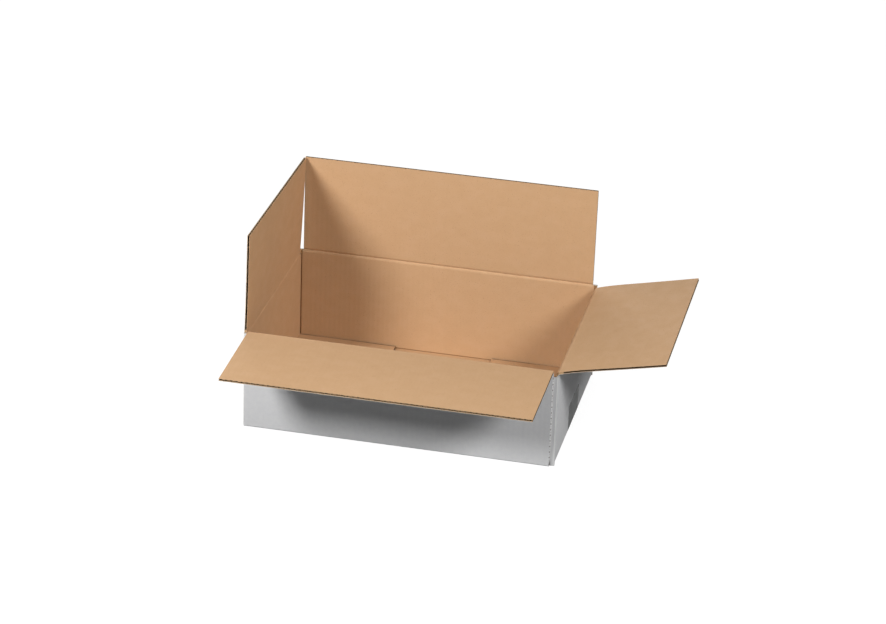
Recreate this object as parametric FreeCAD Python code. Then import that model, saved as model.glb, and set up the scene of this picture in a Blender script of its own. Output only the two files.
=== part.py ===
import FreeCAD, Part
import math
import os

# A regular slotted carton in single-wall corrugated board, standing open.
# X runs along the carton, Y from front to back, Z up. The origin is the middle of
# the underside. "Long" walls and flaps are the front and back ones, "end" walls and
# flaps the left and right ones. All sizes are in millimetres, angles in degrees.

# Corrugated board: two liners with a fluted medium between them
board = 3.0
liner = 0.35
medium = 0.3
flute_pitch = 6.36
flute_flat = 1.5        # length over which the medium lies on a liner

# Carton, measured outside
length = 386.0
width = 262.0
end_crease_height = 122.2
end_flap_depth = 130.0
fold_radius = 2.0       # outer liner at a folded corner

# Creases and slots
layer_gap = 0.3         # between two flaps that are folded over each other
crease_gap = 0.15       # from a crease's pivot line to the crushed board on each side
crush_width = 6.0       # flutes pressed shut beside a crease
long_slot = 6.0         # corner to the side edge of a long flap
side_clearance = 0.5    # long wall's inner face to the side edge of an end flap
post_drop = 0.5         # corner of the long walls below their crease

# Glued joint at the front right corner
lap_width = 32.0
lap_taper = 12.0        # angle of the lap's top and bottom edges
notch_pitch = 2.5       # teeth left by the cutting rule on the front panel's edge
notch_width = 1.2
notch_depth = 0.9

# Tape that closes the bottom
tape_width = 65.0
tape_thickness = 0.15
tape_leg = 38.0         # height to which it runs up each end wall
tape_offset = -7.5      # laid by hand, so its middle isn't quite on the seam

# Lean of each open flap, outwards from upright
back_lean = 0.5
left_lean = -1.0
right_lean = 77.5
front_lean = 91.4

# The long flaps fold over the end flaps, so their crease is one layer higher. The
# sheet's cut edge is straight, so they are shorter by the same step.
layer_step = board + layer_gap
long_crease_height = end_crease_height + layer_step
long_flap_depth = end_flap_depth - layer_step
long_panel = length - 2 * long_slot
end_panel = width - 2 * (board + side_clearance)

X = FreeCAD.Vector(1, 0, 0)
Y = FreeCAD.Vector(0, 1, 0)
Z = FreeCAD.Vector(0, 0, 1)
ORIGIN = FreeCAD.Vector(0, 0, 0)

# Quarter turns from the back wall to each wall, and how far out that wall stands
BACK, LEFT, FRONT, RIGHT = 0, 90, 180, 270


def outline_of(points):
    return Part.makePolygon(points + points[:1])


def face_of(points):
    return Part.Face(outline_of(points))


def place_on_wall(shape, turn, height):
    """Carry a shape from the back wall's outer face at y = 0 to the wall at that turn."""
    reach = width / 2 if turn in (BACK, FRONT) else length / 2
    shape.translate(FreeCAD.Vector(0, reach, height))
    shape.rotate(ORIGIN, Z, turn)
    return shape


def flute_tunnels(panel_width, flat):
    """Outlines of the tunnels in a board's section, by turns against the inner and the outer liner (at y = 0)."""
    slanted = medium * 1.4                                # slanted medium, measured along the board
    wide = flute_pitch - flat - slanted
    narrow = max(flat - slanted, 0.0)
    count = int((panel_width - wide - 2 * medium) // (flute_pitch / 2)) + 1
    tunnels = []
    for i in range(count):
        middle = (i - (count - 1) / 2) * flute_pitch / 2
        if i % 2:
            base, tip = -board + liner, -liner - medium
        else:
            base, tip = -liner, -board + liner + medium
        corners = [(middle - wide / 2, base), (middle + wide / 2, base), (middle + narrow / 2, tip)]
        if narrow:
            corners.append((middle - narrow / 2, tip))
        tunnels.append(outline_of([FreeCAD.Vector(x, y, 0) for x, y in corners]))
    return tunnels


def fluted_panel(panel_width, depth, flat):
    """Upright board from the crushed strip to its cut edge, with the flutes open at that edge."""
    half = panel_width / 2
    outline = outline_of([
        FreeCAD.Vector(-half, 0, 0),
        FreeCAD.Vector(half, 0, 0),
        FreeCAD.Vector(half, -board, 0),
        FreeCAD.Vector(-half, -board, 0),
    ])
    section = Part.makeFace([outline] + flute_tunnels(panel_width, flat), "Part::FaceMakerBullseye")
    section.translate(Z * crush_width)
    return section.extrude(Z * (depth - crush_width))


def top_flap(panel_width, depth):
    """Flap standing upright on its pivot line at the origin, its root crushed to an edge at the outer liner."""
    half = panel_width / 2
    root = face_of([
        FreeCAD.Vector(-half, 0, crease_gap),
        FreeCAD.Vector(-half, 0, crush_width),
        FreeCAD.Vector(-half, -board, crush_width),
        FreeCAD.Vector(-half, -board, board + crease_gap),
    ])
    return root.extrude(X * panel_width).fuse(fluted_panel(panel_width, depth, flute_flat))


def bottom_flap(panel_width, depth):
    """The same board folded flat under the carton, its outer liner down at z = 0."""
    flap = fluted_panel(panel_width, depth, 0.0)
    flap.rotate(ORIGIN, Y, 180)
    flap.rotate(ORIGIN, X, -90)
    return flap


def wall(panel_width, base, crease):
    """Panel from the fold at its base to the crushed edge under its top flap."""
    x = -panel_width / 2
    r = fold_radius
    bend = r * (1 - math.sqrt(0.5))
    top = Part.makePolygon([
        FreeCAD.Vector(x, 0, base + r),
        FreeCAD.Vector(x, 0, crease - crease_gap),
        FreeCAD.Vector(x, -board, crease - board - crease_gap),
        FreeCAD.Vector(x, -board, base + board),
        FreeCAD.Vector(x, -crush_width, base + board),
        FreeCAD.Vector(x, -crush_width, base),
        FreeCAD.Vector(x, -r, base),
    ])
    fold = Part.Arc(
        FreeCAD.Vector(x, -r, base),
        FreeCAD.Vector(x, -bend, base + bend),
        FreeCAD.Vector(x, 0, base + r),
    ).toShape()
    return Part.Face(Part.Wire(top.Edges + [fold])).extrude(X * panel_width)


def folded_corner(long_leg, end_leg, bottom, top):
    """Vertical fold at x = length / 2, y = 0, with a leg along X and a leg along the end wall."""
    r = fold_radius
    bend = r * (1 - math.sqrt(0.5))
    x = length / 2
    points = [(x - r, 0), (x - long_leg, 0), (x - long_leg, -board)]
    if end_leg > board:
        points += [(x - board, -board), (x - board, -end_leg)]
    points += [(x, -end_leg), (x, -r)]
    sides = Part.makePolygon([FreeCAD.Vector(px, py, bottom) for px, py in points])
    fold = Part.Arc(
        FreeCAD.Vector(x, -r, bottom),
        FreeCAD.Vector(x - bend, -bend, bottom),
        FreeCAD.Vector(x - r, 0, bottom),
    ).toShape()
    return Part.Face(Part.Wire(sides.Edges + [fold])).extrude(Z * (top - bottom))


def corner_post(mirror_x, mirror_y):
    """Corner between two panels: its full height in the long wall's board, lower beside the end flap."""
    post = folded_corner(long_slot, board, post_drop, long_crease_height - post_drop)
    beside_flap = folded_corner(
        long_slot, board + side_clearance,
        layer_step + fold_radius, end_crease_height - board - crease_gap,
    )
    post = post.fuse(beside_flap)
    post.translate(Y * (width / 2))
    if mirror_x:
        post = post.mirror(ORIGIN, X)
    if mirror_y:
        post = post.mirror(ORIGIN, Y)
    return post


def glue_lap():
    """Lap folded from the right wall and glued behind the front panel, clear of the end flaps above and below."""
    outer_face = -width / 2 + board
    top = end_crease_height - board - layer_gap
    bottom = layer_step + board + side_clearance
    near = length / 2 - long_slot + layer_gap             # clear of the bottom flap's side edge
    far = length / 2 - lap_width
    taper = (near - far) * math.tan(math.radians(lap_taper))
    lap = face_of([
        FreeCAD.Vector(near, outer_face, bottom),
        FreeCAD.Vector(near, outer_face, top),
        FreeCAD.Vector(far, outer_face, top - taper),
        FreeCAD.Vector(far, outer_face, bottom + taper),
    ]).extrude(Y * board)
    fold = folded_corner(long_slot - layer_gap, board, post_drop, top).mirror(ORIGIN, Y)
    fold.translate(Y * outer_face)
    return lap.fuse(fold)


def cut_edge_notches():
    """Wedges that the toothed rule takes out of the front panel's cut edge."""
    edge = length / 2 - long_slot
    low = layer_step + board
    count = int((end_crease_height - board - low) // notch_pitch)
    wedges = []
    for i in range(count):
        z = low + (i + 0.5) * notch_pitch
        wedge = face_of([
            FreeCAD.Vector(edge, -width / 2, z - notch_width / 2),
            FreeCAD.Vector(edge, -width / 2, z + notch_width / 2),
            FreeCAD.Vector(edge - notch_depth, -width / 2, z),
        ])
        wedges.append(wedge.extrude(Y * board))
    return Part.makeCompound(wedges)


def carton_body():
    """Walls, corners, glue lap and the four folded bottom flaps: one sheet."""
    long_flap = bottom_flap(long_panel, long_flap_depth)
    end_flap = bottom_flap(end_panel, end_flap_depth)
    pieces = []
    for turn in (BACK, FRONT):
        panel = wall(long_panel, 0, long_crease_height)
        if turn == FRONT:
            panel = place_on_wall(panel, turn, 0).cut(cut_edge_notches())
        else:
            panel = place_on_wall(panel, turn, 0)
        pieces.append(panel)
        pieces.append(place_on_wall(long_flap.copy(), turn, 0))
    for turn in (LEFT, RIGHT):
        pieces.append(place_on_wall(wall(end_panel, 0, end_crease_height - layer_step), turn, layer_step))
        pieces.append(place_on_wall(end_flap.copy(), turn, layer_step))
    pieces.append(corner_post(False, False))
    pieces.append(corner_post(True, False))
    pieces.append(corner_post(True, True))
    pieces.append(glue_lap())
    body = pieces[0].multiFuse(pieces[1:])
    tape_bed = Part.makeBox(
        long_panel, tape_width, tape_thickness,
        FreeCAD.Vector(-long_panel / 2, tape_offset - tape_width / 2, 0),
    )
    return body.cut(tape_bed).removeSplitter()


def bottom_tape():
    """Strip over the bottom's seam, bedded flush there, that rounds each end's fold and runs up the wall."""
    r = fold_radius
    edge = FreeCAD.Vector(length / 2 - long_slot, 0, tape_thickness)
    centre = FreeCAD.Vector(length / 2 - r, 0, layer_step + r)
    reach = (centre - edge).Length
    slope = math.atan2(centre.z - edge.z, centre.x - edge.x) - math.asin(r / reach)

    def around(radius, angle):
        return centre + FreeCAD.Vector(radius * math.sin(angle), 0, -radius * math.cos(angle))

    halfway = (slope + math.pi / 2) / 2
    outer = r + tape_thickness
    inner_line = Part.makePolygon([
        around(r, slope),
        edge,
        FreeCAD.Vector(0, 0, tape_thickness),
        ORIGIN,
        FreeCAD.Vector(edge.x + tape_thickness * math.tan(slope / 2), 0, 0),
        around(outer, slope),
    ])
    outer_arc = Part.Arc(around(outer, slope), around(outer, halfway), around(outer, math.pi / 2)).toShape()
    leg = Part.makePolygon([
        around(outer, math.pi / 2),
        FreeCAD.Vector(length / 2 + tape_thickness, 0, tape_leg),
        FreeCAD.Vector(length / 2, 0, tape_leg),
        around(r, math.pi / 2),
    ])
    inner_arc = Part.Arc(around(r, math.pi / 2), around(r, halfway), around(r, slope)).toShape()
    profile = Part.Face(Part.Wire(inner_line.Edges + [outer_arc] + leg.Edges + [inner_arc]))
    profile.translate(Y * (tape_offset - tape_width / 2))
    half = profile.extrude(Y * tape_width)
    return half.fuse(half.mirror(ORIGIN, X)).removeSplitter()


def open_flap(panel_width, depth, turn, crease, lean):
    flap = top_flap(panel_width, depth)
    flap.rotate(ORIGIN, X, -lean)
    return place_on_wall(flap, turn, crease)


nodes = {
    "carton_body": carton_body(),
    "flap_back": open_flap(long_panel, long_flap_depth, BACK, long_crease_height, back_lean),
    "flap_front": open_flap(long_panel, long_flap_depth, FRONT, long_crease_height, front_lean),
    "flap_left": open_flap(end_panel, end_flap_depth, LEFT, end_crease_height, left_lean),
    "flap_right": open_flap(end_panel, end_flap_depth, RIGHT, end_crease_height, right_lean),
    "bottom_tape": bottom_tape(),
}

os.makedirs("parts", exist_ok=True)
for name, shape in nodes.items():
    solid = shape.Solids[0] if len(shape.Solids) == 1 else shape
    print(name, "valid", solid.isValid(), "solids", len(shape.Solids), "faces", len(solid.Faces),
          "volume", round(solid.Volume, 1))
    solid.exportStep("parts/" + name + ".step")
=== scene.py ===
import bmesh
import bpy
import math
from mathutils import Matrix, Vector


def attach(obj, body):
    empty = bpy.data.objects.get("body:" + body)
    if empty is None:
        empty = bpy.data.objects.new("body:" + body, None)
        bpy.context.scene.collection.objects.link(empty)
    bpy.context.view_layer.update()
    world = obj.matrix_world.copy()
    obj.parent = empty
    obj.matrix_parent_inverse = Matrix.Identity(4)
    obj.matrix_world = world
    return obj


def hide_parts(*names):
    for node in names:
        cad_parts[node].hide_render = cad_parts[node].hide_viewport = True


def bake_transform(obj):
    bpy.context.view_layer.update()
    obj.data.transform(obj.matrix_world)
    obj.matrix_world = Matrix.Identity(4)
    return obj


# An open shipping carton in single-wall corrugated board, white outside and brown inside
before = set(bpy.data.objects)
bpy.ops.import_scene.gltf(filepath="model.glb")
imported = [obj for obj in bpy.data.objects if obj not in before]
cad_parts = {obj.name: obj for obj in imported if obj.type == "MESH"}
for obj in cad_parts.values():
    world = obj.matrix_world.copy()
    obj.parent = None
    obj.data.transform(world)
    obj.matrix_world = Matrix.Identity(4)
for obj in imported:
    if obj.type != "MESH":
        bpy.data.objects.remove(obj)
for spareName in ("Cube", "Light", "Camera"):
    if spareName in bpy.data.objects:
        bpy.data.objects.remove(bpy.data.objects[spareName])
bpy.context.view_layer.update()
print("frame loaded:", sorted(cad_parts))

mm = 0.001

board = {
    "thickness": 3.0 * mm,      # B flute
    "liner": 0.35 * mm,
    "medium": 0.3 * mm,
    "flutePitch": 6.36 * mm,
    "crushed": 6.0 * mm,        # flutes pressed shut beside a crease
    "creaseGap": 0.15 * mm,
    "rowSpacing": 9.0 * mm,     # how finely a flap can bow
    "cutPinch": 1.04,           # the rule leaves a small burr along the edge
    "cutPinchDepth": 1.6 * mm,
    "lip": 0.5 * mm,            # and turns the outer liner in over the ends of the flutes
    "tornLength": 0.9 * mm,     # ends of the flutes, torn and fluffed up thick
    "tornPaper": 0.55 * mm,
    "fluteShort": 0.3 * mm,     # sound flutes end this far inside the far edge
    "recess": 0.05 * mm,        # and all fluting this far inside a cut
    "crushLap": 0.5 * mm,       # flutes run on into the crushed part
    "spare": 2.0 * mm,          # width cut off again at the side edges
    "columns": 6,
    "waveSteps": 12,
    "crest": 1.35,              # above 1 the tips are pressed flat
    "flapSmooth": math.radians(35),
    "creaseSmooth": math.radians(50),
}

carton = {
    "length": 386.0 * mm,
    "width": 262.0 * mm,
    "longCrease": 125.5 * mm,   # height of the front and back creases
    "endCrease": 122.2 * mm,
    "layerStep": 3.3 * mm,
    "foldRadius": 2.0 * mm,
}


# Helpers that work as by hand: go to the piece, select by place, run an operator
def workOn(piece):
    if bpy.context.object and bpy.context.object.mode != "OBJECT":
        bpy.ops.object.mode_set(mode="OBJECT")
    bpy.ops.object.select_all(action="DESELECT")
    piece.select_set(True)
    bpy.context.view_layer.objects.active = piece
    return piece


def pickVerts(piece, test):
    if piece.mode != "EDIT":
        workOn(piece)
        bpy.ops.object.mode_set(mode="EDIT")
    bpy.ops.mesh.select_mode(type="VERT")
    bpy.ops.mesh.select_all(action="DESELECT")
    shape = bmesh.from_edit_mesh(piece.data)
    for vert in shape.verts:
        vert.select = bool(test(vert.co))
    shape.select_flush(True)
    bmesh.update_edit_mesh(piece.data)


def pickAll(piece):
    pickVerts(piece, lambda co: True)


def leaveEdit():
    bpy.ops.object.mode_set(mode="OBJECT")


def useModifier(piece, kind, **settings):
    workOn(piece)
    modifier = piece.modifiers.new(kind.lower(), kind)
    for name, value in settings.items():
        setattr(modifier, name, value)
    bpy.ops.object.modifier_apply(modifier=modifier.name)


def keepPlace(piece):
    workOn(piece)
    bpy.ops.object.transform_apply(location=True, rotation=True, scale=True)


def paint(hexColour):
    channels = [int(hexColour[i:i + 2], 16) / 255 for i in (0, 2, 4)]
    return [c / 12.92 if c <= 0.04045 else ((c + 0.055) / 1.055) ** 2.4 for c in channels] + [1.0]


def addNode(tree, kind, links, **settings):
    node = tree.nodes.new(kind)
    for name, value in settings.items():
        setattr(node, name, value)
    for socket, source in links.items():
        if isinstance(source, bpy.types.NodeSocket):
            tree.links.new(source, node.inputs[socket])
        else:
            node.inputs[socket].default_value = source
    return node


def newFinish(name, **constants):
    finish = bpy.data.materials.new(name)
    finish.use_nodes = True
    tree = finish.node_tree
    shader = tree.nodes["Principled BSDF"]
    for socket, value in constants.items():
        shader.inputs[socket.replace("_", " ")].default_value = value
    return finish, tree, shader


# The board's own map, "board": metres across the flutes, metres along them.
# On a cut edge it is metres along the edge, and metres in from the outer liner.
def boardMap(tree, across=1.0, along=1.0):
    place = addNode(tree, "ShaderNodeUVMap", {}, uv_map="board")
    return addNode(tree, "ShaderNodeMapping", {
        "Vector": place.outputs["UV"], "Scale": (across, along, 1.0)}).outputs["Vector"]


def washboardWave(tree, place, direction):
    # Wave bands repeat every 2 pi / (20 scale)
    return addNode(tree, "ShaderNodeTexWave", {
        "Vector": place, "Scale": 2 * math.pi / 20 / board["flutePitch"], "Distortion": 0.0, "Detail": 0.0,
    }, wave_type="BANDS", bands_direction=direction, wave_profile="SIN").outputs["Fac"]


def paperNoise(tree, place, scale, detail, **more):
    return addNode(tree, "ShaderNodeTexNoise", {
        "Vector": place, "Scale": scale, "Detail": detail, **more}, noise_dimensions="2D").outputs["Fac"]


def remap(tree, source, low, high, first, last):
    return addNode(tree, "ShaderNodeMapRange", {
        "Value": source, "From Min": low, "From Max": high, "To Min": first, "To Max": last}).outputs["Result"]


def tint(tree, share, under, over):
    return addNode(tree, "ShaderNodeMix", {
        "Factor": share, "A": under, "B": over}, data_type="RGBA").outputs["Result"]


def rampOf(tree, source, stops):
    # A new ramp has its two ends, and the other stops go between them
    node = addNode(tree, "ShaderNodeValToRGB", {"Fac": source})
    elements = node.color_ramp.elements
    for element, (position, colour) in zip(elements, (stops[0], stops[-1])):
        element.position, element.color = position, paint(colour)
    for position, colour in stops[1:-1]:
        elements.new(position).color = paint(colour)
    return node.outputs["Color"]


def relief(tree, shader, *layers):
    # One bump on another, each a height and how far it reaches
    normal = {}
    for height, distance in layers:
        bump = addNode(tree, "ShaderNodeBump", {"Height": height, "Strength": 1.0, "Distance": distance, **normal})
        normal = {"Normal": bump.outputs["Normal"]}
    tree.links.new(normal["Normal"], shader.inputs["Normal"])


cloud = {"dull": 0.3, "base": 0.5, "bright": 0.7}     # where the noise gives each tone


def cloudedTone(tree, clouds, look):
    return rampOf(tree, clouds, [(cloud[tone], look[tone]) for tone in cloud])


def cloudedGloss(tree, clouds, look):
    smooth, rough = look["roughness"]
    return remap(tree, clouds, cloud["dull"], cloud["bright"], rough, smooth)


# A tint has the noise it starts and ends at, and the share of colour at each
kraftInside = {
    "base": "c59f78",
    "dull": "c49e77",
    "bright": "c6a07a",
    "fleck": "8a6747",
    "palefibre": "dfc19d",
    "mottle": 14 * mm,          # cloudy formation of the paper
    "mottleStretch": 0.7,
    "fibre": (3.2 * mm, 0.7 * mm),   # length along the machine, width
    "fibreTint": (0.55, 0.8, 0.0, 0.1),
    "fleckSize": (1.6 * mm, 0.8 * mm),
    "fleckTint": (0.73, 0.8, 0.0, 0.7),
    "glueTint": (0.75, 1.0, 0.0, 0.1),
    "washboard": 0.05 * mm,     # flutes showing through the liner
    "grain": 0.035 * mm,
    "roughness": (0.78, 0.92),
}

# Along a crease the liner is stretched, so it is a little paler and the flutes show more
scoredInside = dict(kraftInside, base="c9a37c", dull="c69f79", bright="cba67f", washboard=0.15 * mm)

# In the sharp line down an inner corner, and along the foot of each long wall, the liner is painted darker as the shade
# in the pressed line
cornerShadeInside = dict(kraftInside, base="8f6a45", dull="88643f", bright="946f4a", palefibre="b08c66", washboard=0.0)


# Brown testliner: recycled kraft paper, calendered on the outside only, so it is matt,
# cloudy, and full of short fibres that lie across the flutes
def brownTestliner(name, look):
    finish, tree, shader = newFinish(name, IOR=1.5, Specular_IOR_Level=0.35)
    length, breadth = look["fibre"]
    fleckLength, fleckBreadth = look["fleckSize"]
    clouds = paperNoise(tree, boardMap(tree, look["mottleStretch"], 1.0), 1 / look["mottle"], 3.0, Roughness=0.55)
    fibres = paperNoise(tree, boardMap(tree, 1 / length, 1 / breadth), 1.0, 2.0, Roughness=0.6, Distortion=0.4)
    flecks = paperNoise(tree, boardMap(tree, 1 / fleckLength, 1 / fleckBreadth), 1.0, 1.0)
    wave = washboardWave(tree, boardMap(tree), "X")

    tone = cloudedTone(tree, clouds, look)
    withFibres = tint(tree, remap(tree, fibres, *look["fibreTint"]), tone, paint(look["palefibre"]))
    withFlecks = tint(tree, remap(tree, flecks, *look["fleckTint"]), withFibres, paint(look["fleck"]))
    # glue lines darken the liner a little along each flute tip
    coloured = tint(tree, remap(tree, wave, *look["glueTint"]), withFlecks, paint(look["dull"]))
    tree.links.new(coloured, shader.inputs["Base Color"])
    tree.links.new(cloudedGloss(tree, clouds, look), shader.inputs["Roughness"])
    relief(tree, shader, (wave, look["washboard"]), (fibres, look["grain"]))
    return finish


whiteOutside = {
    "base": "dbdbdc",
    "dull": "d9d9da",
    "bright": "dddddd",
    "undertone": "ccc5bc",      # brown base ply where the white is thin
    "thinSize": (2.4 * mm, 1.2 * mm),
    "thinTint": (0.55, 0.8, 0.0, 0.1),
    "mottle": 6 * mm,
    "washboard": 0.05 * mm,
    "grain": 0.02 * mm,
    "roughness": (0.62, 0.78),
}

# On a fold the glaze is cracked and worn, which leaves it rougher and a little paler, and it is painted paler still as
# a highlight along the bend
whiteFoldHighlight = dict(whiteOutside, base="f0f0ee", dull="e9e9e7", bright="f4f4f2", roughness=(0.8, 0.9))


# White-top testliner: a thin bleached ply over recycled brown, machine glazed, so it is
# smoother than the inside, with a grey-brown mottle where the white is thin
def whiteTopLiner(name, look):
    finish, tree, shader = newFinish(name, IOR=1.5, Specular_IOR_Level=0.15)
    length, breadth = look["thinSize"]
    clouds = paperNoise(tree, boardMap(tree), 1 / look["mottle"], 4.0, Roughness=0.6)
    thin = paperNoise(tree, boardMap(tree, 1 / length, 1 / breadth), 1.0, 3.0)
    wave = washboardWave(tree, boardMap(tree), "X")
    tone = cloudedTone(tree, clouds, look)
    coloured = tint(tree, remap(tree, thin, *look["thinTint"]), tone, paint(look["undertone"]))
    tree.links.new(coloured, shader.inputs["Base Color"])
    tree.links.new(cloudedGloss(tree, clouds, look), shader.inputs["Roughness"])
    relief(tree, shader, (wave, look["washboard"]), (thin, look["grain"]))
    return finish


cutEdge = {
    "whitePly": "cfc8bc",
    "liner": "c7aa88",
    "medium": "b8946c",
    "shade": "8f6f4e",
    # share of the thickness in from the outer liner, and the layer there
    "layers": ((0.06, "whitePly"), (0.14, "liner"), (0.36, "liner"),
               (0.42, "medium"), (0.84, "medium"), (0.9, "liner")),
    "wander": 0.25 * mm,
    "shadeTint": (0.35, 0.6, 0.4, 0.0),
    "fuzz": 0.5 * mm,
    "bump": 0.12 * mm,
}


# Raw cut through the board: white ply, brown liner and darker fluting paper in layers,
# torn fuzzy by the cutting rule
def cutBoardEdge(name, look):
    finish, tree, shader = newFinish(name, IOR=1.5, Specular_IOR_Level=0.2, Roughness=0.95)
    place = addNode(tree, "ShaderNodeSeparateXYZ", {"Vector": boardMap(tree)})
    fuzz = paperNoise(tree, boardMap(tree), 1 / look["fuzz"], 3.0)
    wander = addNode(tree, "ShaderNodeMath", {0: fuzz, 1: 0.5}, operation="SUBTRACT")
    depth = addNode(tree, "ShaderNodeMath", {
        0: wander.outputs["Value"], 1: look["wander"], 2: place.outputs["Y"]}, operation="MULTIPLY_ADD")
    share = remap(tree, depth.outputs["Value"], 0.0, board["thickness"], 0.0, 1.0)
    layers = rampOf(tree, share, [(position, look[layer]) for position, layer in look["layers"]])
    coloured = tint(tree, remap(tree, fuzz, *look["shadeTint"]), layers, paint(look["shade"]))
    tree.links.new(coloured, shader.inputs["Base Color"])
    relief(tree, shader, (fuzz, look["bump"]))
    return finish


fluteShadePaper = {"base": "3f2c1c", "dark": "302115", "fibre": 1.5 * mm, "bump": 0.03 * mm}


# Fluting medium: thin recycled paper, painted far darker than the paper itself as the shade in the tunnels of the
# fluting, in the slit beside each end bottom flap and in the notches of the toothed edge
def shadedFlutingMedium(name, look):
    finish, tree, shader = newFinish(name, IOR=1.5, Specular_IOR_Level=0.2, Roughness=0.95)
    fibres = paperNoise(tree, boardMap(tree), 1 / look["fibre"], 4.0)
    tree.links.new(tint(tree, fibres, paint(look["dark"]), paint(look["base"])), shader.inputs["Base Color"])
    relief(tree, shader, (fibres, look["bump"]))
    return finish


packingTape = {
    "base": "555655",
    "dark": "4a4b4a",
    "streak": 1.2 * mm,         # draw lines along the film
    "streakScale": 12.0,        # the other way, per metre
    "patch": 18 * mm,
    "streakTint": (0.12, 0.4, 0.0, 1.0),
    "roughness": (0.3, 0.7, 0.5, 0.62),
    "washboard": 0.05 * mm,
    "wrinkle": 0.08 * mm,
}


# Grey polypropylene packing tape: a thin glossy film with draw lines along it, pressed
# down on the board so that the flutes and the seam below show through
def polypropyleneTape(name, look):
    finish, tree, shader = newFinish(name, IOR=1.49, Specular_IOR_Level=0.16)
    place = addNode(tree, "ShaderNodeTexCoord", {}).outputs["Object"]
    along = addNode(tree, "ShaderNodeMapping", {
        "Vector": place, "Scale": (look["streakScale"], 1 / look["streak"], look["streakScale"])})
    streaks = addNode(tree, "ShaderNodeTexNoise", {
        "Vector": along.outputs["Vector"], "Scale": 1.0, "Detail": 3.0}).outputs["Fac"]
    patches = addNode(tree, "ShaderNodeTexNoise", {
        "Vector": place, "Scale": 1 / look["patch"], "Detail": 3.0, "Distortion": 0.6}).outputs["Fac"]
    both = addNode(tree, "ShaderNodeMath", {0: streaks, 1: patches}, operation="MULTIPLY").outputs["Value"]
    coloured = tint(tree, remap(tree, both, *look["streakTint"]), paint(look["dark"]), paint(look["base"]))
    tree.links.new(coloured, shader.inputs["Base Color"])
    tree.links.new(remap(tree, patches, *look["roughness"]), shader.inputs["Roughness"])
    relief(tree, shader, (washboardWave(tree, place, "Y"), look["washboard"]), (both, look["wrinkle"]))
    return finish


faceFinishes = [
    whiteTopLiner("whiteTopTestliner", whiteOutside),
    brownTestliner("brownTestliner", kraftInside),
    cutBoardEdge("rawCutBoardEdge", cutEdge),
    shadedFlutingMedium("recycledFlutingPaperInShade", fluteShadePaper),
    brownTestliner("brownTestlinerScored", scoredInside),
    whiteTopLiner("whiteTopTestlinerFoldHighlight", whiteFoldHighlight),
    brownTestliner("brownTestlinerCornerShade", cornerShadeInside),
]
tapeFilm = polypropyleneTape("greyPolypropyleneTape", packingTape)
white, kraft, raw, fluteShade, score, foldHighlight, cornerShade = range(7)
print("finishes made:", len(bpy.data.materials))


def dressFaces(piece, choose):
    # choose gives each face its finish, and each corner its place on the board
    mesh = piece.data
    mesh.materials.clear()
    for finish in faceFinishes:
        mesh.materials.append(finish)
    layer = mesh.uv_layers.get("board") or mesh.uv_layers.new(name="board")
    for face in mesh.polygons:
        finish, place = choose(face.center, face.normal)
        face.material_index = finish
        for loop in face.loop_indices:
            layer.data[loop].uv = place(mesh.vertices[mesh.loops[loop].vertex_index].co)


flaps = {
    "backFlap": {
        "node": "flap_back", "body": "back_flap", "panel": 374.0 * mm, "depth": 126.7 * mm,
        "turn": 0, "reach": 131.0 * mm, "crease": carton["longCrease"], "lean": 0.5, "bow": (0.2 * mm, 60 * mm),
    },
    "leftFlap": {
        "node": "flap_left", "body": "left_flap", "panel": 255.0 * mm, "depth": 130.0 * mm,
        "turn": 90, "reach": 193.0 * mm, "crease": carton["endCrease"], "lean": -1.5, "bow": (0.5 * mm, 60 * mm),
        "sides": {1: (-6.3 * mm, 0.0)}, "twist": -0.4, "groove": "shallow",
    },
    "frontFlap": {
        "node": "flap_front", "body": "front_flap", "panel": 374.0 * mm, "depth": 126.7 * mm,
        "turn": 180, "reach": 131.0 * mm, "crease": carton["longCrease"], "lean": 91.4, "bow": (0.2 * mm, 60 * mm),
        "groove": "folded",
    },
    # bent open before it is dry, so it leaves its crease steeply and then flattens
    "rightFlap": {
        "node": "flap_right", "body": "right_flap", "panel": 255.0 * mm, "depth": 130.0 * mm,
        "turn": 270, "reach": 193.0 * mm, "crease": carton["endCrease"], "lean": 77.5, "bow": (1.2 * mm, 28 * mm),
        "sides": {-1: (-6.3 * mm, -1.7 * mm)}, "groove": "open",
    },
}


def bowOf(flap, along):
    height, peak = flap["bow"]
    return height * (along / peak) * math.exp(1 - along / peak)


def sideEdge(flap, side, along):
    # where the side edge stands, because the slots beside the end flaps aren't quite parallel
    root, tip = flap.get("sides", {}).get(side, (0.0, 0.0))
    return flap["panel"] / 2 + root + (tip - root) * along / flap["depth"]


def trimSides(flap, piece, inset, fill):
    for side in (-1, 1):
        low, high = (sideEdge(flap, side, along) - inset for along in (0.0, flap["depth"]))
        pickAll(piece)
        across = Vector((side * flap["depth"], 0, low - high)).normalized()
        bpy.ops.mesh.bisect(plane_co=(side * low, 0, 0), plane_no=across, clear_outer=True, use_fill=fill)
    leaveEdit()


def onWall(flap):
    # Carries a flap from the pivot line at the origin, upright, to its wall and lean
    return (Matrix.Rotation(math.radians(flap["turn"]), 4, "Z")
            @ Matrix.Translation((0, flap["reach"], flap["crease"]))
            @ Matrix.Rotation(math.radians(-flap["lean"]), 4, "X"))


def addLiner(flap, outerFace, start, rows):
    depth = flap["depth"]
    bpy.ops.object.select_all(action="DESELECT")
    bpy.ops.mesh.primitive_grid_add(
        x_subdivisions=board["columns"], y_subdivisions=rows, size=1,
        location=(0, -outerFace, (start + depth) / 2), rotation=(math.pi / 2, 0, 0))
    liner = bpy.context.object
    liner.scale = (flap["panel"] + board["spare"], depth - start, 1)
    keepPlace(liner)
    trimSides(flap, liner, 0.0, False)
    useModifier(liner, "SOLIDIFY", thickness=board["liner"], offset=1.0)
    return liner


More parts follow.
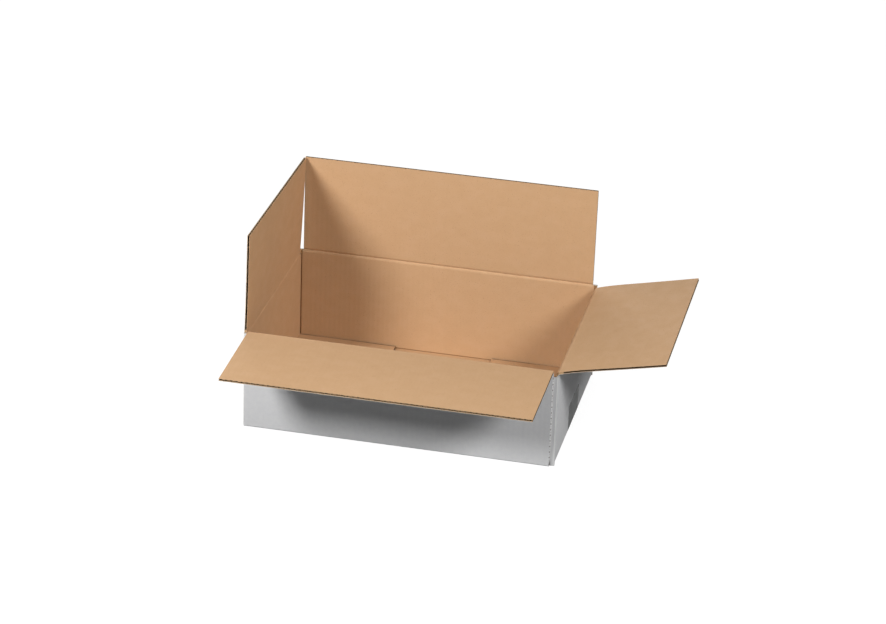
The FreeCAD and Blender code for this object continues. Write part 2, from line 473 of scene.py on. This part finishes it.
def addFluting(flap, rows, start, end, paper):
    # One wave of the medium, repeated along the panel and trimmed to its width
    pitch, steps = board["flutePitch"], board["waveSteps"]
    swing = (board["thickness"] - 2 * board["liner"] - paper) / 2
    count = math.ceil(flap["panel"] / pitch) + 1
    bpy.ops.object.select_all(action="DESELECT")
    bpy.ops.mesh.primitive_grid_add(
        x_subdivisions=steps, y_subdivisions=rows, size=1,
        location=(-count * pitch / 2 + pitch / 2, -board["thickness"] / 2, (start + end) / 2),
        rotation=(math.pi / 2, 0, 0))
    wave = bpy.context.object
    wave.scale = (pitch, end - start, 1)
    keepPlace(wave)
    for step in range(steps + 1):
        x = -count * pitch / 2 + pitch * step / steps
        pickVerts(wave, lambda co: abs(co.x - x) < 0.05 * mm)
        crest = max(-1.0, min(1.0, board["crest"] * math.cos(2 * math.pi * step / steps)))
        bpy.ops.transform.translate(value=(0, swing * crest, 0))
    leaveEdit()
    useModifier(wave, "ARRAY", count=count, use_relative_offset=False, use_constant_offset=True,
                constant_offset_displace=(pitch, 0, 0), use_merge_vertices=True, merge_threshold=0.01 * mm)
    trimSides(flap, wave, board["recess"], False)
    useModifier(wave, "SOLIDIFY", thickness=paper, offset=0.0)
    return wave


def addCrushedRoot(flap):
    # Where the creasing wheel pressed the flutes shut, cut back to a mitre
    liner, thick, gap = board["liner"], board["thickness"], board["creaseGap"]
    low, high = gap + liner, board["crushed"]
    bpy.ops.object.select_all(action="DESELECT")
    bpy.ops.mesh.primitive_cube_add(size=1, location=(0, -thick / 2, (low + high) / 2))
    root = bpy.context.object
    root.scale = (flap["panel"] + board["spare"], thick - 2 * liner, high - low)
    keepPlace(root)
    pickVerts(root, lambda co: co.z < low + 0.1 * mm and co.y < -thick / 2)
    bpy.ops.transform.translate(value=(0, 0, thick - 2 * liner))
    leaveEdit()
    trimSides(flap, root, 0.0, True)
    return root


def buildFlap(name, flap):
    depth, thick, gap = flap["depth"], board["thickness"], board["creaseGap"]
    rows = round(depth / board["rowSpacing"])
    outer = addLiner(flap, 0.0, 2 * gap, rows)    # a little short, so that it clears the wall when closed
    # the cutting rule turns the outer liner in over the ends of the flutes
    pickVerts(outer, lambda co: co.z > depth - 0.01 * mm and co.y < -board["liner"] / 2)
    bpy.ops.transform.translate(value=(0, -board["lip"], 0))
    leaveEdit()
    inner = addLiner(flap, thick - board["liner"], gap + thick, rows)
    fluting = addFluting(flap, rows, board["crushed"] - board["crushLap"], depth - board["fluteShort"], board["medium"])
    tornEnds = addFluting(flap, 1, depth - board["tornLength"], depth - board["recess"], board["tornPaper"])
    layers = [outer, inner, fluting, tornEnds, addCrushedRoot(flap)]
    workOn(outer)
    for layer in layers:
        layer.select_set(True)
    bpy.ops.object.join()
    piece = bpy.context.object
    piece.name = piece.data.name = name

    # burr along the far edge
    pickAll(piece)
    bpy.ops.mesh.bisect(plane_co=(0, 0, depth - board["cutPinchDepth"]), plane_no=(0, 0, 1))
    pickVerts(piece, lambda co: co.z > depth - board["fluteShort"])
    bpy.ops.transform.resize(value=(1, board["cutPinch"], 1), center_override=(0, -thick / 2, depth))
    leaveEdit()

    base = flap["crease"]
    sideNear, edgeNear, faceNear, rootEnd = 0.07 * mm, 0.15 * mm, 0.25 * mm, 4 * mm

    def onPanel(co):
        return (co.x, base + co.z)

    def choose(centre, normal):
        side = 1 if centre.x > 0 else -1
        if abs(centre.x) > sideEdge(flap, side, centre.z) - sideNear and abs(normal.x) > 0.9:
            return raw, lambda co: (co.z, -co.y)
        if centre.z > depth - edgeNear or (normal.z < -0.5 and centre.z < rootEnd):
            return raw, lambda co: (co.x, -co.y)
        if normal.y > 0.7 and centre.y > -faceNear:
            return white, onPanel
        if normal.y < -0.7 and centre.y < -thick + faceNear:
            return kraft, onPanel
        # the fluting and the hollows between the liners, painted dark as their shade
        return fluteShade, onPanel

    dressFaces(piece, choose)

    # bow: each row slides to its own place
    heights = sorted({round(vert.co.z / mm, 2) for vert in piece.data.vertices})
    for height in heights:
        pickVerts(piece, lambda co: round(co.z / mm, 2) == height)
        bpy.ops.transform.translate(value=(0, -bowOf(flap, height * mm), 0))
    leaveEdit()
    if "twist" in flap:
        useModifier(piece, "SIMPLE_DEFORM", deform_method="TWIST", deform_axis="Z",
                    angle=math.radians(flap["twist"]))

    piece.matrix_world = onWall(flap)
    keepPlace(piece)
    bpy.ops.object.shade_smooth_by_angle(angle=board["flapSmooth"])
    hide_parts(flap["node"])
    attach(piece, flap["body"])
    print(name, "faces", len(piece.data.polygons))


for flapName, flapSettings in flaps.items():
    buildFlap(flapName, flapSettings)


# Share of the fold's angle from wall to flap, and distance in mm from the pivot on the outer liner
creases = {
    "upright": [(0.0, 4.35), (0.1, 3.62), (0.22, 2.84), (0.36, 2.1), (0.47, 1.62), (0.52, 1.5),
                (0.6, 2.05), (0.71, 2.55), (0.85, 3.25), (1.0, 4.35)],
    "shallow": [(0.0, 4.35), (0.1, 3.82), (0.22, 3.36), (0.36, 2.95), (0.47, 2.72), (0.52, 2.66),
                (0.6, 2.84), (0.71, 3.12), (0.85, 3.66), (1.0, 4.35)],
    "open": [(0.0, 4.35), (0.1, 3.5), (0.22, 2.9), (0.36, 2.6), (0.5, 2.45), (0.57, 2.3), (0.6, 1.7),
             (0.63, 2.3), (0.72, 2.75), (0.86, 3.4), (1.0, 4.35)],
    # one facet between the wall's part and the flap's part, which close through over half a turn
    "folded": [(0.0, 4.35), (0.1, 3.6), (0.23, 3.0), (0.773, 3.0), (0.86, 3.4), (1.0, 4.35)],
}


def buildCrease(name, flap):
    # The pressed strip of board between wall and flap, as a fan about the pivot line
    thick, gap = board["thickness"], board["creaseGap"]
    lean = math.radians(flap["lean"])
    wallEnd = Vector((-thick, -thick - gap))
    flapEnd = Vector((-thick - bowOf(flap, thick + gap), thick + gap))
    flapEnd = Vector((flapEnd.x * math.cos(lean) + flapEnd.y * math.sin(lean),
                      -flapEnd.x * math.sin(lean) + flapEnd.y * math.cos(lean)))
    startAngle = math.atan2(wallEnd.y, wallEnd.x) % (2 * math.pi)
    endAngle = math.atan2(flapEnd.y, flapEnd.x)
    inner = []
    for share, radius in creases[flap.get("groove", "upright")]:
        angle = startAngle + (endAngle - startAngle) * share
        inner.append(Vector((math.cos(angle), math.sin(angle))) * radius * mm)
    inner[0], inner[-1] = wallEnd, flapEnd
    outline = inner + [Vector((gap * math.sin(lean), gap * math.cos(lean))), Vector((0, -gap))]
    left, right = -sideEdge(flap, -1, 0.0), sideEdge(flap, 1, 0.0)
    middle = Vector((math.cos((startAngle + endAngle) / 2), math.sin((startAngle + endAngle) / 2))) * 0.5 * mm

    bpy.ops.object.select_all(action="DESELECT")
    bpy.ops.mesh.primitive_circle_add(vertices=len(outline), radius=mm, fill_type="TRIFAN")
    piece = bpy.context.object
    piece.name = piece.data.name = name
    workOn(piece)
    bpy.ops.object.mode_set(mode="EDIT")
    shape = bmesh.from_edit_mesh(piece.data)
    ring = [vert for vert in shape.verts if vert.is_boundary]
    ring.sort(key=lambda vert: math.atan2(vert.co.y, vert.co.x) % (2 * math.pi))
    for vert, point in zip(ring, outline):
        vert.co = (left, point.x, point.y)
    hub = next(vert for vert in shape.verts if not vert.is_boundary)
    hub.co = (left, middle.x, middle.y)
    bmesh.update_edit_mesh(piece.data)
    bpy.ops.mesh.select_all(action="SELECT")
    bpy.ops.mesh.extrude_region_move(TRANSFORM_OT_translate={"value": (right - left, 0, 0)})
    bpy.ops.mesh.select_all(action="SELECT")
    bpy.ops.mesh.normals_make_consistent(inside=False)
    leaveEdit()

    base = flap["crease"]
    reach = [0.0]
    for one, two in zip(inner, inner[1:]):
        reach.append(reach[-1] + (two - one).length)

    def along(co):
        flat = Vector((co.y, co.z))
        nearest = min(range(len(inner)), key=lambda i: (inner[i] - flat).length)
        return reach[nearest] - reach[-1] / 2

    def choose(centre, normal):
        if abs(normal.x) > 0.9:
            return raw, lambda co: (co.z, min(abs(Vector((co.y, co.z)).length), thick))
        if Vector((centre.y, centre.z)).length < 0.4 * mm:
            return white, lambda co: (co.x, base + co.z)
        return score, lambda co: (co.x, base + along(co))

    dressFaces(piece, choose)
    toWorld = onWall(dict(flap, lean=0.0))
    piece.matrix_world = toWorld
    keepPlace(piece)
    bpy.ops.object.shade_smooth_by_angle(angle=board["creaseSmooth"])
    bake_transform(piece)
    print(name, "faces", len(piece.data.polygons))


for flapName, flapSettings in flaps.items():
    buildCrease(flapName.replace("Flap", "Crease"), flapSettings)


# Walls, corners, lap and bottom flaps are one folded sheet, a dressed copy of the CAD body
sheet = {
    "smooth": math.radians(35),
    "tolerance": 0.06 * mm,     # how near its place a face lies
    "atPoint": 0.02 * mm,       # and how near a corner
    "longSlot": 6.0 * mm,       # corner to the side edge of a long flap, and to the toothed edge
    "groove": 1.3 * mm,         # width of the pressed line on each side of an inner corner
    "press": 0.9 * mm,          # and its depth
    "foldLine": 1.2 * mm,       # height of the line along the foot of a long wall
    "bottomGap": 2.0 * mm,      # between an end bottom flap and the long wall beside it
    "lapTop": 118.9 * mm,
    "lapDrop": 0.5 * mm,
    "notchPitch": 3.75 * mm,          # distance between spots of painted notch shade on the toothed edge
    "notchShadeShare": 0.4,
}


def buildSheet():
    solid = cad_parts["carton_body"]
    piece = solid.copy()
    piece.data = solid.data.copy()
    piece.name = piece.data.name = "cartonSheet"
    piece.parent = None
    for key in list(piece.keys()):
        del piece[key]
    bpy.context.scene.collection.objects.link(piece)
    pickAll(piece)
    bpy.ops.mesh.remove_doubles(threshold=0.002 * mm)
    leaveEdit()

    halfLong, halfWide, thick = carton["length"] / 2, carton["width"] / 2, board["thickness"]
    step, radius = carton["layerStep"], carton["foldRadius"]
    near, atPoint = sheet["tolerance"], sheet["atPoint"]

    # the creasing wheel leaves a pressed line down each inner corner
    for side in (-1, 1):
        for place, normal in (((side * (halfLong - thick - sheet["groove"]), 0, 0), (1, 0, 0)),
                              ((0, side * (halfWide - thick - sheet["groove"]), 0), (0, 1, 0))):
            pickAll(piece)
            bpy.ops.mesh.bisect(plane_co=place, plane_no=normal)
    # the end bottom flaps don't quite reach the long walls
    for side in (-1, 1):
        pickVerts(piece, lambda co: abs(co.y * side - halfWide + thick + 0.5 * mm) < 0.1 * mm
                  and step - 0.1 * mm < co.z < step + thick + 0.1 * mm
                  and abs(co.x) < halfLong - sheet["longSlot"] - 0.1 * mm)
        bpy.ops.transform.translate(value=(0, -side * sheet["bottomGap"], 0))
    for sideX, sideY in ((-1, 1), (1, 1), (-1, -1)):
        pickVerts(piece, lambda co: abs(co.x * sideX - halfLong + thick) < atPoint
                  and abs(co.y * sideY - halfWide + thick) < atPoint)
        bpy.ops.transform.translate(value=(sideX * sheet["press"], sideY * sheet["press"], 0))
    # the lap's top corner is pressed down by the end flap that closes over it
    pickVerts(piece, lambda co: halfWide - 2 * thick - 0.1 * mm < -co.y < halfWide - thick - 1.2 * mm
              and abs(co.z - sheet["lapTop"]) < 0.1 * mm and 0 < co.x < halfLong - thick + atPoint)
    bpy.ops.transform.translate(value=(0, 0, -sheet["lapDrop"]))
    # the creasing wheel's line along the foot of each long wall
    for side in (-1, 1):
        pickVerts(piece, lambda co: abs(co.y * side - halfWide + thick) < atPoint)
        bpy.ops.mesh.bisect(plane_co=(0, 0, thick + sheet["foldLine"]), plane_no=(0, 0, 1))
    leaveEdit()

    def insets(co):
        # how far in from the outer liner, for the end walls, the long walls and the bottom
        return (halfLong - abs(co.x), halfWide - abs(co.y), co.z)

    def edgeDepth(co):
        endIn, longIn, up = insets(co)
        found = [d for d in (endIn, longIn, up, up - step, longIn - thick) if -near < d < thick + near]
        return min(found) if found else 0.5 * thick

    def choose(centre, normal):
        endIn, longIn, up = insets(centre)
        outX = normal.x * (1 if centre.x > 0 else -1)
        outY = normal.y * (1 if centre.y > 0 else -1)
        acrossX = lambda co: (co.x, co.z)
        acrossY = lambda co: (co.y, co.z)
        wallMap = acrossY if abs(normal.x) > abs(normal.y) else acrossX
        # outer liner, corners and folds among it, the outer corner bends painted paler as a highlight
        if outX > 0.25 and outY > 0.25 and endIn < radius and longIn < thick + radius + near:
            return foldHighlight, wallMap
        if (outX > 0.2 and endIn < radius + near) or (outY > 0.2 and longIn < radius + near):
            return white, wallMap
        frontRight = centre.x > 0 > centre.y
        if frontRight and outY > 0.2 and outX > -0.05 and longIn < thick + radius + near and endIn < sheet["longSlot"]:
            return white, acrossX
        if normal.z < -0.2 and (up < near * 4 or abs(up - step) < near * 4):
            if up < near * 4:
                return white, lambda co: (co.x, co.y)
            return white, lambda co: (co.y, co.x)
        # pressed line down an inner corner in painted shade, and painted shade in the slit beside an end bottom flap
        cornerIn = (endIn - thick, longIn - thick)
        if not frontRight and abs(normal.z) < 0.3 and min(outX, outY) < -0.2 \
                and -sheet["press"] < min(cornerIn) < -0.1 * mm and max(cornerIn) < sheet["groove"]:
            return cornerShade, wallMap
        # painted shade in the slit beside an end bottom flap
        if outY > 0.9 and step - near < up < step + thick + near and longIn > thick + sheet["bottomGap"]:
            return fluteShade, acrossX
        # teeth that the cutting rule left on the front panel's edge, with the brown fluting in the notches between them
        # painted dark as its shade
        if frontRight and longIn < thick + near and abs(endIn - sheet["longSlot"]) < 1.0 * mm and normal.y > -0.5:
            notchInShade = centre.z % sheet["notchPitch"] < sheet["notchShadeShare"] * sheet["notchPitch"]
            return (fluteShade if notchInShade else white), acrossX
        # painted shade along the pressed line at the foot of each long wall
        if outY < -0.95 and abs(longIn - thick) < near and thick < up < thick + sheet["foldLine"]:
            return cornerShade, acrossX
        # inner liner
        if outX < -0.95 and abs(endIn - thick) < near:
            return kraft, acrossY
        if outY < -0.95 and (abs(longIn - thick) < near or abs(longIn - 2 * thick) < near):
            return kraft, acrossX
        if normal.z > 0.95 and abs(up - thick) < near:
            return kraft, lambda co: (co.x, co.y)
        if normal.z > 0.95 and abs(up - step - thick) < near:
            return kraft, lambda co: (co.y, co.x)
        # tunnels between the liners of the bottom flaps, painted dark as their shade
        if up < step + thick and abs(normal.z) > 0.2 and min(endIn, longIn) > sheet["longSlot"] + mm:
            return fluteShade, lambda co: (co.x, co.y)
        if abs(normal.z) > 0.9:
            return raw, lambda co: (co.x + co.y, edgeDepth(co))
        return raw, lambda co: (co.z, edgeDepth(co))

    dressFaces(piece, choose)
    workOn(piece)
    bpy.ops.object.shade_smooth_by_angle(angle=sheet["smooth"])
    useModifier(piece, "WEIGHTED_NORMAL", weight=100, keep_sharp=True)
    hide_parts("carton_body")
    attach(piece, "carton")
    print("cartonSheet faces", len(piece.data.polygons))


buildSheet()


# The strip of tape under the bottom keeps its CAD shape
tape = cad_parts["bottom_tape"]
tape.data.materials.clear()
tape.data.materials.append(tapeFilm)
print("tape dressed")


studio = {
    "floorSize": 12.0,
    "floor": "707070",
    "floorGlow": 0.94,
    "sky": 0.02,
    "target": (0.02, 0.0, 0.12),
}
lamps = {
    "keySoftbox": {"place": (-0.645, -1.14, 0.91), "size": 0.36, "power": 18.8},
    "rightSoftbox": {"place": (1.434, -1.09, 1.405), "size": 0.65, "power": 29.8},
    "leftEdge": {"place": (-1.9, -0.35, 0.22), "size": 0.5, "power": 6.0},
    "backFill": {"place": (-0.9, 2.2, 0.4), "size": 1.4, "power": 30.0},
}


def seenBy(tree, *rays):
    # 1 for the rays named, and 0 for those that only carry light
    path = addNode(tree, "ShaderNodeLightPath", {})
    seen = path.outputs[rays[0]]
    for ray in rays[1:]:
        seen = addNode(tree, "ShaderNodeMath", {0: seen, 1: path.outputs[ray]}, operation="MAXIMUM").outputs["Value"]
    return seen


def buildStudio():
    bpy.ops.object.select_all(action="DESELECT")
    bpy.ops.mesh.primitive_plane_add(size=studio["floorSize"], location=(0, 0, 0))
    floor = bpy.context.object
    floor.name = "studioFloor"
    paper, tree, shader = newFinish("matteStudioPaper", Roughness=0.95, Specular_IOR_Level=0.0)
    shader.inputs["Base Color"].default_value = paint(studio["floor"])
    # lifts the paper to white for the camera, and keeps the shadow
    seen = seenBy(tree, "Is Camera Ray", "Is Glossy Ray")
    glow = addNode(tree, "ShaderNodeMath", {0: seen, 1: studio["floorGlow"]}, operation="MULTIPLY")
    shader.inputs["Emission Color"].default_value = (1, 1, 1, 1)
    tree.links.new(glow.outputs["Value"], shader.inputs["Emission Strength"])
    floor.data.materials.append(paper)

    world = bpy.data.worlds.new("studioAir")
    bpy.context.scene.world = world
    world.use_nodes = True
    sky = world.node_tree
    sky.nodes.clear()
    seen = seenBy(sky, "Is Camera Ray", "Is Glossy Ray", "Is Transmission Ray")
    light = remap(sky, seen, 0.0, 1.0, studio["sky"], 1.0)
    air = addNode(sky, "ShaderNodeBackground", {"Color": (1, 1, 1, 1), "Strength": light})
    addNode(sky, "ShaderNodeOutputWorld", {"Surface": air.outputs["Background"]})

    for name, lamp in lamps.items():
        bpy.ops.object.light_add(type="AREA", location=(0, 0, 0))
        softbox = bpy.context.object
        softbox.name = name
        softbox.location = lamp["place"]
        softbox.rotation_euler = (softbox.location - Vector(studio["target"])).to_track_quat("Z", "Y").to_euler()
        softbox.data.shape = "DISK"
        softbox.data.size = lamp["size"]
        softbox.data.energy = lamp["power"]


buildStudio()
print("studio lit")


view = {
    "focal": 131.57, "sensor": 36.0, "distance": 3.9683,
    "azimuth": 11.782, "elevation": 25.161, "roll": 2.12,
    "target": (0.023697, -0.000153, 0.123775),
}


def buildCamera():
    azimuth, elevation, roll = (math.radians(view[key]) for key in ("azimuth", "elevation", "roll"))
    back = Vector((math.sin(azimuth) * math.cos(elevation), -math.cos(azimuth) * math.cos(elevation),
                   math.sin(elevation)))
    right = Vector((math.cos(azimuth), math.sin(azimuth), 0))
    up = back.cross(right)
    turnedRight = right * math.cos(roll) + up * math.sin(roll)
    turnedUp = up * math.cos(roll) - right * math.sin(roll)
    place = Vector(view["target"]) + back * view["distance"]
    bpy.ops.object.camera_add()
    camera = bpy.context.object
    camera.name = "photoCamera"
    camera.matrix_world = Matrix((turnedRight, turnedUp, back)).transposed().to_4x4()
    camera.location = place
    camera.data.lens = view["focal"]
    camera.data.sensor_width = view["sensor"]
    camera.data.sensor_fit = "HORIZONTAL"
    camera.data.clip_start, camera.data.clip_end = 0.1, 50
    bpy.context.scene.camera = camera


buildCamera()
bpy.context.scene.view_settings.view_transform = "Standard"
